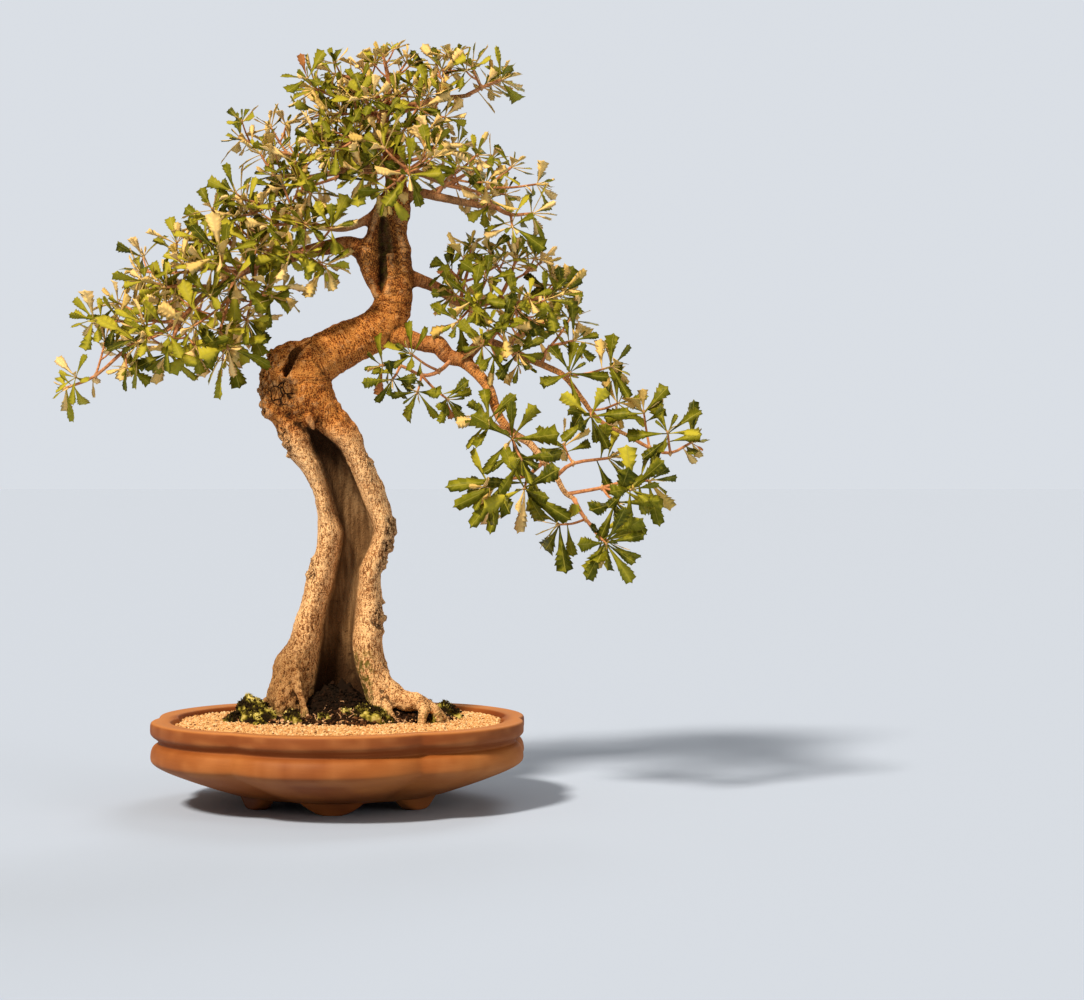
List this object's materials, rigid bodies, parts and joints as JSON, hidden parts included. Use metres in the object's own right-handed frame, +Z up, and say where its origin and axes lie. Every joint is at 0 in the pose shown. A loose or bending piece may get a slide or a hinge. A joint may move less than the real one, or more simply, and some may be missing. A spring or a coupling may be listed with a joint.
{
  "type": "bonsai tree in a pot",
  "caption": "Coast banksia bonsai: hollow sinuous trunk and a cascading crown of toothed wedge leaves, in a round six-lobed clay pot.",
  "frame": {"origin": "under the middle of the whole tree's width and depth, at the height its pot's feet stand on", "axes": "+Z up, -Y towards the front of the tree, where the trunk's hollow opens, +X towards the cascading right side"},
  "size_m": [0.742, 0.437, 0.883],
  "materials": {
    "clay": "unglazed orange-brown fired clay",
    "screen": "black plastic mesh",
    "soil": "dark crumbly soil",
    "gravel": "dry golden gravel",
    "moss": "yellow-green moss",
    "bark": "fine-grained tan bark",
    "leaf": "half-gloss green above, pale felted below"
  },
  "bodies": {
    "root": {"pot": "clay", "drain_screen": "screen", "soil": "soil", "gravel": "gravel", "moss_left": "moss", "moss_centre": "moss", "moss_right": "moss", "trunk": "bark", "spray_left_01": "leaf", "spray_left_02": "leaf", "spray_left_03": "leaf", "spray_left_04": "leaf", "spray_left_05": "leaf", "spray_left_06": "leaf", "spray_left_07": "leaf", "spray_left_08": "leaf", "spray_left_09": "leaf", "spray_left_10": "leaf", "spray_left_11": "leaf", "spray_left_12": "leaf", "spray_left_13": "leaf", "spray_apex_01": "leaf", "spray_apex_02": "leaf", "spray_apex_03": "leaf", "spray_apex_04": "leaf", "spray_apex_05": "leaf", "spray_apex_06": "leaf", "spray_apex_07": "leaf", "spray_apex_08": "leaf", "spray_apex_09": "leaf", "spray_apex_10": "leaf", "spray_apex_11": "leaf", "spray_apex_12": "leaf", "spray_apex_13": "leaf", "spray_apex_14": "leaf", "spray_apex_15": "leaf", "spray_right_01": "leaf", "spray_right_02": "leaf", "spray_right_03": "leaf", "spray_right_04": "leaf", "spray_right_05": "leaf", "spray_mid_01": "leaf", "spray_mid_02": "leaf", "spray_mid_03": "leaf", "spray_mid_04": "leaf", "spray_mid_05": "leaf", "spray_mid_06": "leaf", "spray_mid_07": "leaf", "spray_mid_08": "leaf", "spray_low_01": "leaf", "spray_low_02": "leaf", "spray_low_03": "leaf", "spray_low_04": "leaf", "spray_low_05": "leaf", "spray_low_06": "leaf", "spray_low_07": "leaf", "spray_low_08": "leaf", "spray_low_09": "leaf", "spray_low_10": "leaf"}
  },
  "joints": []
}
